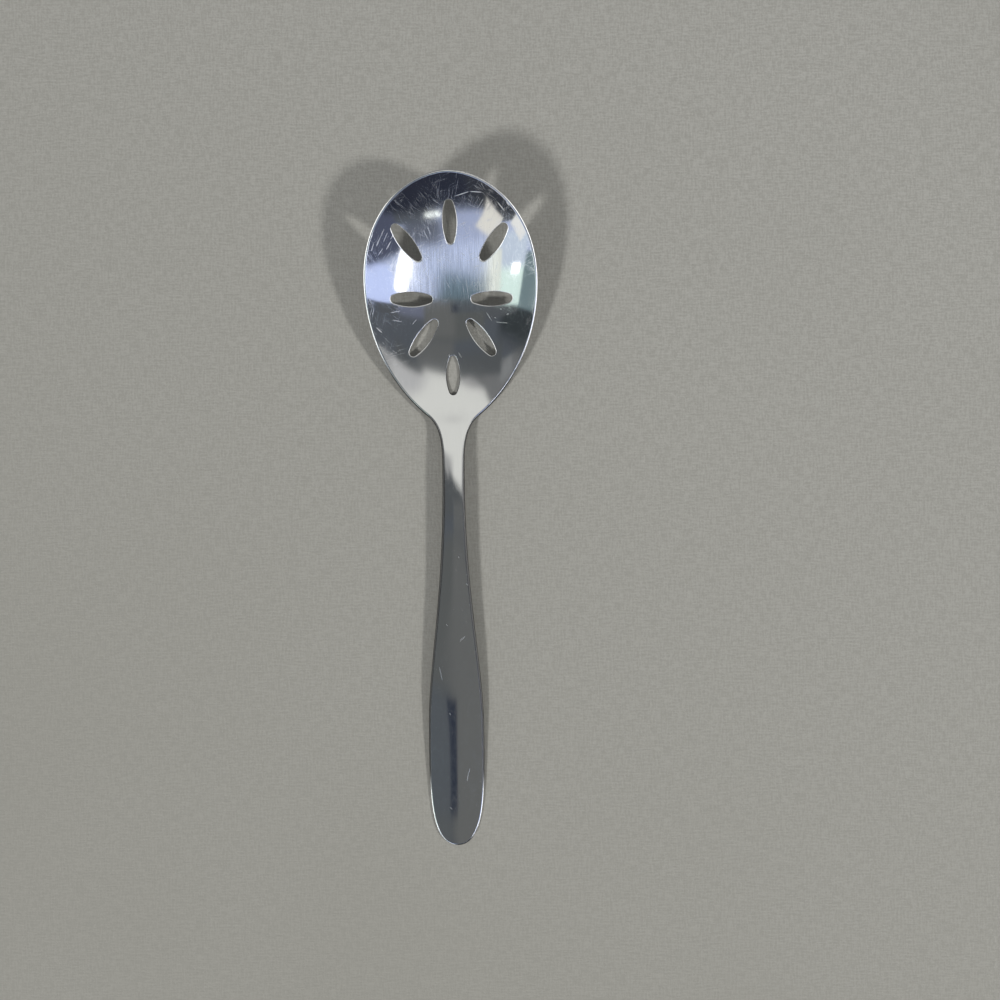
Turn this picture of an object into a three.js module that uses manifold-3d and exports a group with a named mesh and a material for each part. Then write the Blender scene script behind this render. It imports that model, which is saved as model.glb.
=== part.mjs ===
import * as THREE from 'three';
import { mergeVertices } from 'three/addons/utils/BufferGeometryUtils.js';
import Module from 'manifold-3d';

// Pierced serving spoon: one sheet of stainless steel, blanked, pierced and pressed.
// Millimetres. +Y points to the tip of the bowl, +Z is up, the table is z = 0.
// The spoon lies as it does on a table, on the heel of its bowl and the end of its handle.

// Plan outline. Each place along the spoon is a distance behind the tip of the bowl.
const overallLength = 216.5;
const bowlWidth = 56;
const bowlWidestAt = 32.4;
const shoulderWidth = 17.1;
const shoulderAt = 74.1;
const shoulderAngle = 50.2;
const neckWidth = 7.3;
const neckAt = 94.6;
const handleWidth = 18.3;
const handleWidestAt = 177.3;

// How far each curve of the outline runs on straight before it turns.
const tipPull = 9.9;
const bowlFrontPull = 23.6;
const bowlBackPull = 17.4;
const shoulderOuterPull = 15;
const shoulderInnerPull = 6.9;
const neckFrontPull = 8.4;
const neckBackPull = 39.6;
const handleFrontPull = 20.6;
const handleBackPull = 18.2;
const endPull = 10.2;

// Sheet thickness: the bowl is rolled thin, the neck is left thick and the handle tapers.
const bowlSheet = 1.2;
const neckSheet = 2.2;
const handleSheet = 1.7;
const endSheet = 1.3;

// Side view: heights of the underside above the table.
const tipRise = 25.9;
const frontPower = 2.4;
const heelAt = 65;
const archRise = 4.6;
const archTopAt = 100;
const handleRestAt = 202;
const handleRestWidth = 16.9;
const restFlat = 0.14;

// How the underside rises to the top of the arch from the handle, and falls from it to
// the heel: [part of the way, part of the rise].
const handleArch = [
  [0.25, 0.25],
  [0.6, 0.69],
  [0.8, 0.88],
];
const heelArch = [
  [0.3, 0.945],
  [0.55, 0.74],
  [0.8, 0.2],
];
const frontStations = 5;

// Radii of the cross-section, hollow in the bowl and crowned on the neck and handle. The
// sides of the bowl stand up more than a circle does, by sideLift at the widest point.
const tipHollow = 52;
const frontHollow = 66;
const bowlHollow = 70;
const heelHollow = 64;
const shoulderHollow = 74;
const neckCrown = 22;
const handleCrown = 110;
const sideLift = 1.8;
const sideLiftPower = 4;

// Slots: long ovals that point at one hub. Start and length are measured along the steel.
const hubAt = 35.6;
const slotWidth = 4.3;
const slotEndRadius = 1.2;
const edgeBreak = 0.25;
const frontSlotStart = 17.8;
const frontSlotLength = 14.6;
const frontSlotAngle = 90;
const upperSlotStart = 16;
const upperSlotLength = 14.7;
const upperSlotAngle = 49.2;
const sideSlotStart = 6.4;
const sideSlotLength = 13.9;
const sideSlotAngle = -1.8;
const lowerSlotStart = 8.8;
const lowerSlotLength = 14.4;
const lowerSlotAngle = -53;
const heelSlotStart = 18.8;
const heelSlotLength = 13;
const heelSlotAngle = -90;

// Fineness of the facets.
const ribsOnFront = 15;
const ribsOnFlank = 18;
const ribsOnShoulder = 8;
const ribsOnHandle = 18;
const ribsOnEnd = 13;
const stepsAcross = 8;
const stepsOnEdge = 4;
const stepsOnSlotArc = 6;

// Share of the bowl's and the handle's length that the ribs fan out over at each end.
const tipFan = 0.4;
const endFan = 0.15;

const tipY = overallLength / 2;
const endY = -overallLength / 2;
const placeBehindTip = (distance) => tipY - distance;
const bowlWidestY = placeBehindTip(bowlWidestAt);
const shoulderY = placeBehindTip(shoulderAt);
const neckY = placeBehindTip(neckAt);
const handleWidestY = placeBehindTip(handleWidestAt);
const heelY = placeBehindTip(heelAt);
const archTopY = placeBehindTip(archTopAt);
const handleRestY = placeBehindTip(handleRestAt);

// The smooth curve with the least bending through points [y, value], given in rising y.
function smoothThrough(points) {
  const last = points.length - 1;
  const bend = new Array(last + 1).fill(0);
  const share = new Array(last + 1).fill(0);
  for (let i = 1; i < last; i += 1) {
    const [before, here, after] = [points[i - 1], points[i], points[i + 1]];
    const ratio = (here[0] - before[0]) / (after[0] - before[0]);
    const pivot = ratio * bend[i - 1] + 2;
    const slopeAfter = (after[1] - here[1]) / (after[0] - here[0]);
    const slopeBefore = (here[1] - before[1]) / (here[0] - before[0]);
    const change = (6 * (slopeAfter - slopeBefore)) / (after[0] - before[0]);
    bend[i] = (ratio - 1) / pivot;
    share[i] = (change - ratio * share[i - 1]) / pivot;
  }
  const second = new Array(last + 1).fill(0);
  for (let i = last - 1; i > 0; i -= 1) {
    second[i] = bend[i] * second[i + 1] + share[i];
  }
  return (y) => {
    let i = 0;
    while (i < last - 1 && y > points[i + 1][0]) {
      i += 1;
    }
    const width = points[i + 1][0] - points[i][0];
    const far = (y - points[i][0]) / width;
    const near = 1 - far;
    const bends = (near ** 3 - near) * second[i] + (far ** 3 - far) * second[i + 1];
    return near * points[i][1] + far * points[i + 1][1] + (bends * width ** 2) / 6;
  };
}

// A point part of the way from one place along the spoon to another.
const between = (from, to, part) => from + (to - from) * part;

// Thickness of the sheet along the spoon.
const sheetThickness = smoothThrough([
  [endY, endSheet],
  [handleRestY, between(endSheet, handleSheet, 0.2)],
  [handleWidestY, handleSheet],
  [between(handleWidestY, neckY, 0.5), between(handleSheet, neckSheet, 0.4)],
  [neckY, neckSheet],
  [shoulderY, between(neckSheet, bowlSheet, 0.6)],
  [between(shoulderY, bowlWidestY, 0.4), bowlSheet],
  [bowlWidestY, bowlSheet],
  [tipY, bowlSheet],
]);

// Underside along the middle: a low arch from the end of the handle to the heel of the
// bowl, then a curve that steepens all the way to the tip.
const hollowUnderHandle = (handleRestWidth / 2) ** 2 / (2 * handleCrown);
const restHeight = hollowUnderHandle - restFlat;
const handleArchCurve = handleArch.map(([way, rise]) => [
  between(handleRestY, archTopY, way),
  between(restHeight, archRise, rise),
]);
const heelArchCurve = heelArch.map(([way, rise]) => [
  between(archTopY, heelY, way),
  archRise * rise,
]);
const frontCurve = [];
for (let i = 1; i <= frontStations; i += 1) {
  const part = i / frontStations;
  frontCurve.push([between(heelY, tipY, part), tipRise * part ** frontPower]);
}
const underside = smoothThrough([
  [endY, restHeight],
  [handleRestY, restHeight],
  ...handleArchCurve,
  [archTopY, archRise],
  ...heelArchCurve,
  [heelY, -restFlat],
  ...frontCurve,
]);

// Bend of the cross-section, which is one over the diameter of the curve: hollow is
// positive, crowned is negative.
const hollow = (radius) => 1 / (2 * radius);
const crowned = (radius) => -1 / (2 * radius);
const crossBend = smoothThrough([
  [endY, crowned(handleCrown)],
  [handleWidestY, crowned(handleCrown)],
  [
    between(handleWidestY, neckY, 0.6),
    between(crowned(handleCrown), crowned(neckCrown), 0.3),
  ],
  [neckY, crowned(neckCrown)],
  [between(neckY, shoulderY, 0.75), 0],
  [between(shoulderY, heelY, 0.5), hollow(shoulderHollow)],
  [between(heelY, bowlWidestY, 0.4), hollow(heelHollow)],
  [bowlWidestY, hollow(bowlHollow)],
  [between(bowlWidestY, tipY, 0.66), hollow(frontHollow)],
  [tipY, hollow(tipHollow)],
]);

// Middle of the sheet above a point of the plan, and the direction square to it.
function middle(x, y) {
  const steepening = sideLift * (x / (bowlWidth / 2)) ** sideLiftPower;
  return underside(y) + sheetThickness(y) / 2 + crossBend(y) * x ** 2 + steepening;
}

function squareTo(x, y) {
  const step = 0.05;
  const slopeX = (middle(x + step, y) - middle(x - step, y)) / (2 * step);
  const slopeY = (middle(x, y + step) - middle(x, y - step)) / (2 * step);
  return new THREE.Vector3(-slopeX, -slopeY, 1).normalize();
}

// The point at a height above the middle of the sheet, measured square to it.
function inSheet(x, y, height) {
  const point = new THREE.Vector3(x, y, middle(x, y));
  return point.addScaledVector(squareTo(x, y), height);
}

// Right half of the plan outline, from the tip of the bowl to the end of the handle.
const halfBowl = bowlWidth / 2;
const halfShoulder = shoulderWidth / 2;
const halfNeck = neckWidth / 2;
const halfHandle = handleWidth / 2;
const shoulderTurn = THREE.MathUtils.degToRad(shoulderAngle);
const alongShoulder = new THREE.Vector2(Math.sin(shoulderTurn), Math.cos(shoulderTurn));
const shoulderPoint = new THREE.Vector2(halfShoulder, shoulderY);
const point2 = (x, y) => new THREE.Vector2(x, y);
const outline = [
  {
    ribs: ribsOnFront,
    curve: new THREE.CubicBezierCurve(
      point2(0, tipY),
      point2(tipPull, tipY),
      point2(halfBowl, bowlWidestY + bowlFrontPull),
      point2(halfBowl, bowlWidestY),
    ),
  },
  {
    ribs: ribsOnFlank,
    curve: new THREE.CubicBezierCurve(
      point2(halfBowl, bowlWidestY),
      point2(halfBowl, bowlWidestY - bowlBackPull),
      shoulderPoint.clone().addScaledVector(alongShoulder, shoulderOuterPull),
      shoulderPoint,
    ),
  },
  {
    ribs: ribsOnShoulder,
    curve: new THREE.CubicBezierCurve(
      shoulderPoint,
      shoulderPoint.clone().addScaledVector(alongShoulder, -shoulderInnerPull),
      point2(halfNeck, neckY + neckFrontPull),
      point2(halfNeck, neckY),
    ),
  },
  {
    ribs: ribsOnHandle,
    curve: new THREE.CubicBezierCurve(
      point2(halfNeck, neckY),
      point2(halfNeck, neckY - neckBackPull),
      point2(halfHandle, handleWidestY + handleFrontPull),
      point2(halfHandle, handleWidestY),
    ),
  },
  {
    ribs: ribsOnEnd,
    curve: new THREE.CubicBezierCurve(
      point2(halfHandle, handleWidestY),
      point2(halfHandle, handleWidestY - handleBackPull),
      point2(endPull, endY),
      point2(0, endY),
    ),
  },
];

// Ribs run across the sheet from a spine on the axis to the outline. At both ends the
// spine stops short, so that the ribs fan out round the curve.
function spineY(y) {
  if (y > bowlWidestY) {
    return between(bowlWidestY, y, 1 - tipFan);
  }
  if (y < handleWidestY) {
    return between(handleWidestY, y, 1 - endFan);
  }
  return y;
}

function halfOfRibs() {
  const ribs = [];
  for (const { ribs: count, curve } of outline) {
    for (let i = 0; i <= count; i += 1) {
      const isRepeat = i === 0 && ribs.length > 0;
      if (!isRepeat) {
        const edge = curve.getPoint(i / count);
        const tangent = curve.getTangent(i / count);
        ribs.push({ edge, outward: point2(-tangent.y, tangent.x) });
      }
    }
  }
  return ribs;
}

// One rib as points from the top of the spine, over the rounded edge, to its underside.
function ribPoints(edge, outward) {
  const half = sheetThickness(edge.y) / 2;
  const rim = edge.clone().addScaledVector(outward, -half);
  const top = [];
  const bottom = [];
  for (let j = 0; j <= stepsAcross; j += 1) {
    const x = (rim.x * j) / stepsAcross;
    const y = between(spineY(edge.y), rim.y, j / stepsAcross);
    const thickness = sheetThickness(y) / 2;
    top.push(inSheet(x, y, j === stepsAcross ? half : thickness));
    bottom.unshift(inSheet(x, y, j === stepsAcross ? -half : -thickness));
  }
  const square = squareTo(rim.x, rim.y);
  const sideways = new THREE.Vector3(outward.x, outward.y, 0);
  sideways.addScaledVector(square, -sideways.dot(square)).normalize();
  const round = [];
  for (let k = 1; k < stepsOnEdge; k += 1) {
    const turn = (Math.PI * k) / stepsOnEdge;
    const point = inSheet(rim.x, rim.y, 0);
    point.addScaledVector(square, half * Math.cos(turn));
    point.addScaledVector(sideways, half * Math.sin(turn));
    round.push(point);
  }
  return [...top, ...round, ...bottom];
}

// A closed surface through rings of points, each ring joined to the next.
function skin(rings, closed) {
  const points = rings.flat();
  const size = rings[0].length;
  const index = [];
  const pairs = closed ? rings.length : rings.length - 1;
  const steps = closed ? size - 1 : size;
  for (let i = 0; i < pairs; i += 1) {
    const here = i * size;
    const next = ((i + 1) % rings.length) * size;
    for (let j = 0; j < steps; j += 1) {
      const k = (j + 1) % size;
      index.push(here + j, here + k, next + k);
      index.push(here + j, next + k, next + j);
    }
  }
  return { points, index };
}

function toGeometry({ points, index }) {
  const geometry = new THREE.BufferGeometry().setFromPoints(points);
  geometry.setIndex(index);
  return geometry;
}

function sheetGeometry() {
  const right = halfOfRibs();
  const left = right
    .slice(1, -1)
    .reverse()
    .map(({ edge, outward }) => ({
      edge: point2(-edge.x, edge.y),
      outward: point2(-outward.x, outward.y),
    }));
  const aroundSpoon = [...right, ...left].reverse();
  const rings = aroundSpoon.map(({ edge, outward }) => ribPoints(edge, outward));
  return toGeometry(skin(rings, true));
}

// Outline of a slot, grown by a margin: two long arcs joined by two small end arcs.
function slotOutline(length, grow) {
  const halfWidth = slotWidth / 2 + grow;
  const endRadius = slotEndRadius + grow;
  const endCentre = length / 2 - slotEndRadius;
  const spare = 2 * (halfWidth - endRadius);
  const sideRadius = endCentre ** 2 / spare + (halfWidth + endRadius) / 2;
  const sideCentre = sideRadius - halfWidth;
  const turn = Math.atan2(sideCentre, endCentre);
  const path = new THREE.Path();
  path.absarc(endCentre, 0, endRadius, -turn, turn, false);
  path.absarc(0, -sideCentre, sideRadius, turn, Math.PI - turn, false);
  path.absarc(-endCentre, 0, endRadius, Math.PI - turn, Math.PI + turn, false);
  path.absarc(0, sideCentre, sideRadius, Math.PI + turn, 2 * Math.PI - turn, false);
  return path.getPoints(stepsOnSlotArc).slice(0, -1);
}

// Plan distance from the hub to a place that lies a given distance along the steel.
function planDistance(direction, along) {
  const steps = 200;
  const hubY = placeBehindTip(hubAt);
  let plan = 0;
  for (let i = 0; i < steps; i += 1) {
    const square = squareTo(direction.x * plan, hubY + direction.y * plan);
    const slope = (square.x * direction.x + square.y * direction.y) / square.z;
    plan += along / steps / Math.hypot(1, slope);
  }
  return plan;
}

// The punch for one slot. It stands square to the sheet everywhere, and it flares at both
// faces so that it leaves a small chamfer there.
function slotPunch({ start, length, angle }) {
  const turn = THREE.MathUtils.degToRad(angle);
  const direction = point2(Math.cos(turn), Math.sin(turn));
  const hubY = placeBehindTip(hubAt);
  const beyond = 1;
  const half = bowlSheet / 2;
  const levels = [
    [half + beyond, edgeBreak + beyond],
    [half - edgeBreak, 0],
    [edgeBreak - half, 0],
    [-half - beyond, edgeBreak + beyond],
  ];
  const place = (along, across, height) => {
    const plan = planDistance(direction, along);
    const x = direction.x * plan - direction.y * across;
    const y = hubY + direction.y * plan + direction.x * across;
    return inSheet(x, y, height);
  };
  const centre = start + length / 2;
  const rings = levels.map(([height, grow]) =>
    slotOutline(length, grow).map(({ x, y }) => place(centre + x, y, height)),
  );
  const { points, index } = skin(rings.reverse(), false);
  const size = rings[0].length;
  const lowest = points.push(place(centre, 0, levels[3][0])) - 1;
  const highest = points.push(place(centre, 0, levels[0][0])) - 1;
  const topRing = (rings.length - 1) * size;
  for (let j = 0; j < size; j += 1) {
    const k = (j + 1) % size;
    index.push(lowest, k, j);
    index.push(highest, topRing + j, topRing + k);
  }
  return toGeometry({ points, index });
}

const slots = [
  { start: frontSlotStart, length: frontSlotLength, angle: frontSlotAngle },
  { start: upperSlotStart, length: upperSlotLength, angle: upperSlotAngle },
  { start: upperSlotStart, length: upperSlotLength, angle: 180 - upperSlotAngle },
  { start: sideSlotStart, length: sideSlotLength, angle: sideSlotAngle },
  { start: sideSlotStart, length: sideSlotLength, angle: 180 - sideSlotAngle },
  { start: lowerSlotStart, length: lowerSlotLength, angle: lowerSlotAngle },
  { start: lowerSlotStart, length: lowerSlotLength, angle: 180 - lowerSlotAngle },
  { start: heelSlotStart, length: heelSlotLength, angle: heelSlotAngle },
];

const wasm = await Module();
wasm.setup();

function toSolid(geometry) {
  const bare = geometry.clone();
  bare.deleteAttribute('normal');
  bare.deleteAttribute('uv');
  const merged = mergeVertices(bare, 0.0001);
  const vertProperties = new Float32Array(merged.attributes.position.array);
  const triVerts = new Uint32Array(merged.index.array);
  return new wasm.Manifold(new wasm.Mesh({ numProp: 3, vertProperties, triVerts }));
}

function fromSolid(solid) {
  const mesh = solid.getMesh();
  const geometry = new THREE.BufferGeometry();
  geometry.setAttribute('position', new THREE.BufferAttribute(mesh.vertProperties, 3));
  geometry.setIndex(new THREE.BufferAttribute(mesh.triVerts, 1));
  geometry.computeVertexNormals();
  return geometry;
}

// Everything below the table, which wears a small flat under the heel and the handle end.
function belowTable() {
  const depth = 4;
  const geometry = new THREE.BoxGeometry(2 * bowlWidth, 2 * overallLength, depth);
  geometry.translate(0, 0, -depth / 2);
  return geometry;
}

let steel = toSolid(sheetGeometry());
for (const slot of slots) {
  steel = steel.subtract(toSolid(slotPunch(slot)));
}
steel = steel.subtract(toSolid(belowTable()));

const stainless = new THREE.MeshStandardMaterial({
  color: 0xc4c6c9,
  roughness: 0.22,
  metalness: 1,
});
const pressing = new THREE.Mesh(fromSolid(steel), stainless);
pressing.name = 'pierced_spoon';

const spoon = new THREE.Group();
spoon.name = 'pierced_serving_spoon';
spoon.add(pressing);

export default spoon;
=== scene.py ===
import math

import bpy
import numpy as np
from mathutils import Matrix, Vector
from mathutils.geometry import delaunay_2d_cdt


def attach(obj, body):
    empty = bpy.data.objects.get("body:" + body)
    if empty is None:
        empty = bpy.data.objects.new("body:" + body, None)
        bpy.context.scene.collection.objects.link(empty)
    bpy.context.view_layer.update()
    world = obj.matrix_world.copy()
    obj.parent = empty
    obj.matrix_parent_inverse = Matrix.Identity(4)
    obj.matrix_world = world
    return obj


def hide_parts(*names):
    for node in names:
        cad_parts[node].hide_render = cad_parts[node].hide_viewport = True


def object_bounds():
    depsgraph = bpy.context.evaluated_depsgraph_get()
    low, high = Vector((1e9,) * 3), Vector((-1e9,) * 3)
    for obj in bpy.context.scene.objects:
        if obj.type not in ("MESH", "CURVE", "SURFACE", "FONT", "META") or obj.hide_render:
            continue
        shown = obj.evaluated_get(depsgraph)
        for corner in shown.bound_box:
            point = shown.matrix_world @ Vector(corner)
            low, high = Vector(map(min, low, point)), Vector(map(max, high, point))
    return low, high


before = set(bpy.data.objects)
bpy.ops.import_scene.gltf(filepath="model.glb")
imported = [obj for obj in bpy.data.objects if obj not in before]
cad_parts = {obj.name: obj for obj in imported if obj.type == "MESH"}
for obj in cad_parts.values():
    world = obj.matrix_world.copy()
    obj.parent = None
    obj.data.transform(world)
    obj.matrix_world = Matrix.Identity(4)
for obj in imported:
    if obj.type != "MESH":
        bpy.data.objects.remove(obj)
cad_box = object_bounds()

# Pierced serving spoon, lying on a pale cloth and seen from straight above.
# The sheet is worked out in millimetres and MM turns it into metres.
# +Y points to the tip of the bowl, +Z is up, the cloth is at z = 0.
MM = 0.001

# Plan outline. Each place along the spoon is a distance behind the tip of the bowl.
OVERALL_LENGTH = 216.5
BOWL_WIDTH, BOWL_WIDEST_AT = 56, 32.4
SHOULDER_WIDTH, SHOULDER_AT, SHOULDER_ANGLE = 17.1, 74.1, 50.2
NECK_WIDTH, NECK_AT = 7.3, 94.6
HANDLE_WIDTH, HANDLE_WIDEST_AT = 18.3, 177.3

# How far each curve of the outline runs on straight before it turns.
TIP_PULL, BOWL_FRONT_PULL, BOWL_BACK_PULL = 9.9, 23.6, 17.4
SHOULDER_OUTER_PULL, SHOULDER_INNER_PULL = 15, 6.9
NECK_FRONT_PULL, NECK_BACK_PULL = 8.4, 39.6
HANDLE_FRONT_PULL, HANDLE_BACK_PULL, END_PULL = 20.6, 18.2, 10.2

# Sheet thickness.
BOWL_SHEET, NECK_SHEET, HANDLE_SHEET, END_SHEET = 1.2, 2.2, 1.7, 1.3

# Side view: heights of the underside above the cloth.
TIP_RISE, FRONT_POWER, FRONT_STATIONS = 25.9, 2.4, 5
HEEL_AT, ARCH_TOP_AT, ARCH_RISE = 65, 100, 4.6
HANDLE_REST_AT, HANDLE_REST_WIDTH, REST_FLAT = 202, 16.9, 0.14
HANDLE_ARCH = [(0.25, 0.25), (0.6, 0.69), (0.8, 0.88)]
HEEL_ARCH = [(0.3, 0.945), (0.55, 0.74), (0.8, 0.2)]

# Radii of the cross-section.
TIP_HOLLOW, FRONT_HOLLOW, BOWL_HOLLOW = 52, 66, 70
HEEL_HOLLOW, SHOULDER_HOLLOW = 64, 74
NECK_CROWN, HANDLE_CROWN = 22, 110
SIDE_LIFT, SIDE_LIFT_POWER = 1.8, 4

# Slots: start, length and direction from one hub, measured along the steel.
HUB_AT = 35.6
SLOT_WIDTH, SLOT_END_RADIUS, EDGE_BREAK = 4.3, 1.2, 0.4
FRONT_SLOT = (17.8, 14.6, 90)
UPPER_SLOT = (16, 14.7, 49.2)
SIDE_SLOT = (6.4, 13.9, -1.8)
LOWER_SLOT = (8.8, 14.4, -53)
HEEL_SLOT = (18.8, 13, -90)

# Fineness of the mesh: curves of the outline, grid on the faces, rim and slots.
STEPS_ON_OUTLINE = (70, 90, 40, 130, 60)
GRID_STEP, GRID_CLEARANCE = 0.8, 0.48
STEPS_ON_RIM = 8
STEPS_ON_SLOT_SIDE, STEPS_ON_SLOT_END, STEPS_ON_BREAK = 20, 6, 3

# Steps for slopes of the sheet and for lengths along it, and the least gap of two points.
SLOPE_STEP = 0.05
PLAN_STEPS, PLAN_SPARE = 400, 2
SAME_POINT = 1e-7

TIP_Y = OVERALL_LENGTH / 2
END_Y = -OVERALL_LENGTH / 2


def behind_tip(distance):
    return TIP_Y - distance


def between(start, end, part):
    return start + (end - start) * part


BOWL_WIDEST_Y = behind_tip(BOWL_WIDEST_AT)
SHOULDER_Y = behind_tip(SHOULDER_AT)
NECK_Y = behind_tip(NECK_AT)
HANDLE_WIDEST_Y = behind_tip(HANDLE_WIDEST_AT)
HEEL_Y = behind_tip(HEEL_AT)
ARCH_TOP_Y = behind_tip(ARCH_TOP_AT)
HANDLE_REST_Y = behind_tip(HANDLE_REST_AT)
HUB_Y = behind_tip(HUB_AT)


def smooth_through(points):
    """The smooth curve with the least bending through points (y, value) in rising y."""
    place, value = np.array(points, float).T
    gap = np.diff(place)
    bends = np.eye(len(place))
    change = np.zeros(len(place))
    for i in range(1, len(place) - 1):
        bends[i, i - 1:i + 2] = gap[i - 1], 2 * (gap[i - 1] + gap[i]), gap[i]
        slope_before = (value[i] - value[i - 1]) / gap[i - 1]
        slope_after = (value[i + 1] - value[i]) / gap[i]
        change[i] = 6 * (slope_after - slope_before)
    second = np.linalg.solve(bends, change)

    def curve(y):
        i = np.clip(np.searchsorted(place, y) - 1, 0, len(gap) - 1)
        far = (y - place[i]) / gap[i]
        near = 1 - far
        bent = (near ** 3 - near) * second[i] + (far ** 3 - far) * second[i + 1]
        return near * value[i] + far * value[i + 1] + bent * gap[i] ** 2 / 6

    return curve


def hollow(radius):
    """Rise by the square of the distance from the middle, where the top is hollow."""
    return 1 / (2 * radius)


def crowned(radius):
    """The same where the top is crowned, so the edges fall instead."""
    return -1 / (2 * radius)


sheet_thickness = smooth_through([
    (END_Y, END_SHEET),
    (HANDLE_REST_Y, between(END_SHEET, HANDLE_SHEET, 0.2)),
    (HANDLE_WIDEST_Y, HANDLE_SHEET),
    (between(HANDLE_WIDEST_Y, NECK_Y, 0.5), between(HANDLE_SHEET, NECK_SHEET, 0.4)),
    (NECK_Y, NECK_SHEET),
    (SHOULDER_Y, between(NECK_SHEET, BOWL_SHEET, 0.6)),
    (between(SHOULDER_Y, BOWL_WIDEST_Y, 0.4), BOWL_SHEET),
    (BOWL_WIDEST_Y, BOWL_SHEET),
    (TIP_Y, BOWL_SHEET),
])

# The handle rests on its two edges near the end, which are worn flat. The middle of its
# underside stands higher than they do.
rest_height = (HANDLE_REST_WIDTH / 2) ** 2 / (2 * HANDLE_CROWN) - REST_FLAT
underside = smooth_through(
    [(END_Y, rest_height), (HANDLE_REST_Y, rest_height)]
    + [
        (between(HANDLE_REST_Y, ARCH_TOP_Y, way), between(rest_height, ARCH_RISE, rise))
        for way, rise in HANDLE_ARCH
    ]
    + [(ARCH_TOP_Y, ARCH_RISE)]
    + [(between(ARCH_TOP_Y, HEEL_Y, way), ARCH_RISE * rise) for way, rise in HEEL_ARCH]
    + [(HEEL_Y, -REST_FLAT)]
    + [
        (between(HEEL_Y, TIP_Y, part), TIP_RISE * part ** FRONT_POWER)
        for part in np.arange(1, FRONT_STATIONS + 1) / FRONT_STATIONS
    ]
)

cross_bend = smooth_through([
    (END_Y, crowned(HANDLE_CROWN)),
    (HANDLE_WIDEST_Y, crowned(HANDLE_CROWN)),
    (
        between(HANDLE_WIDEST_Y, NECK_Y, 0.6),
        between(crowned(HANDLE_CROWN), crowned(NECK_CROWN), 0.3),
    ),
    (NECK_Y, crowned(NECK_CROWN)),
    (between(NECK_Y, SHOULDER_Y, 0.75), 0),
    (between(SHOULDER_Y, HEEL_Y, 0.5), hollow(SHOULDER_HOLLOW)),
    (between(HEEL_Y, BOWL_WIDEST_Y, 0.4), hollow(HEEL_HOLLOW)),
    (BOWL_WIDEST_Y, hollow(BOWL_HOLLOW)),
    (between(BOWL_WIDEST_Y, TIP_Y, 0.66), hollow(FRONT_HOLLOW)),
    (TIP_Y, hollow(TIP_HOLLOW)),
])


def middle(x, y):
    """Height of the middle of the sheet above points of the plan."""
    steepening = SIDE_LIFT * np.abs(x / (BOWL_WIDTH / 2)) ** SIDE_LIFT_POWER
    return underside(y) + sheet_thickness(y) / 2 + cross_bend(y) * x ** 2 + steepening


def unit(vectors):
    return vectors / np.linalg.norm(vectors, axis=-1, keepdims=True)


def square_to(x, y):
    """Directions square to the middle of the sheet."""
    step = SLOPE_STEP
    slope_x = (middle(x + step, y) - middle(x - step, y)) / (2 * step)
    slope_y = (middle(x, y + step) - middle(x, y - step)) / (2 * step)
    return unit(np.stack([-slope_x, -slope_y, np.ones_like(x)], axis=-1))


def in_sheet(plan, height):
    """Points at heights above the middle of the sheet, measured square to it."""
    x, y = plan[:, 0], plan[:, 1]
    points = np.stack([x, y, middle(x, y)], axis=-1)
    return points + square_to(x, y) * np.broadcast_to(height, x.shape)[:, None]


def face_points(plan, side):
    return in_sheet(plan, side * sheet_thickness(plan[:, 1]) / 2)


def face_normals(plan, side):
    """Normals of the top face (side 1) or of the underside (side -1)."""
    along_x, along_y = np.array([SLOPE_STEP, 0]), np.array([0, SLOPE_STEP])
    across = face_points(plan + along_x, side) - face_points(plan - along_x, side)
    along = face_points(plan + along_y, side) - face_points(plan - along_y, side)
    return unit(np.cross(across, along)) * side


def along_plan(plan, direction):
    """Plan directions laid on to the middle of the sheet, as unit vectors."""
    square = square_to(plan[:, 0], plan[:, 1])
    flat = np.column_stack([direction, np.zeros(len(direction))])
    return unit(flat - square * np.sum(flat * square, axis=1, keepdims=True))


def bezier(corners, steps):
    """Points and tangents of a cubic curve, without its last point."""
    t = (np.arange(steps) / steps)[:, None]
    a, b, c, d = (np.array(corner, float) for corner in corners)
    u = 1 - t
    points = u ** 3 * a + 3 * u ** 2 * t * b + 3 * u * t ** 2 * c + t ** 3 * d
    tangents = u ** 2 * (b - a) + 2 * u * t * (c - b) + t ** 2 * (d - c)
    return points, unit(tangents)


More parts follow.
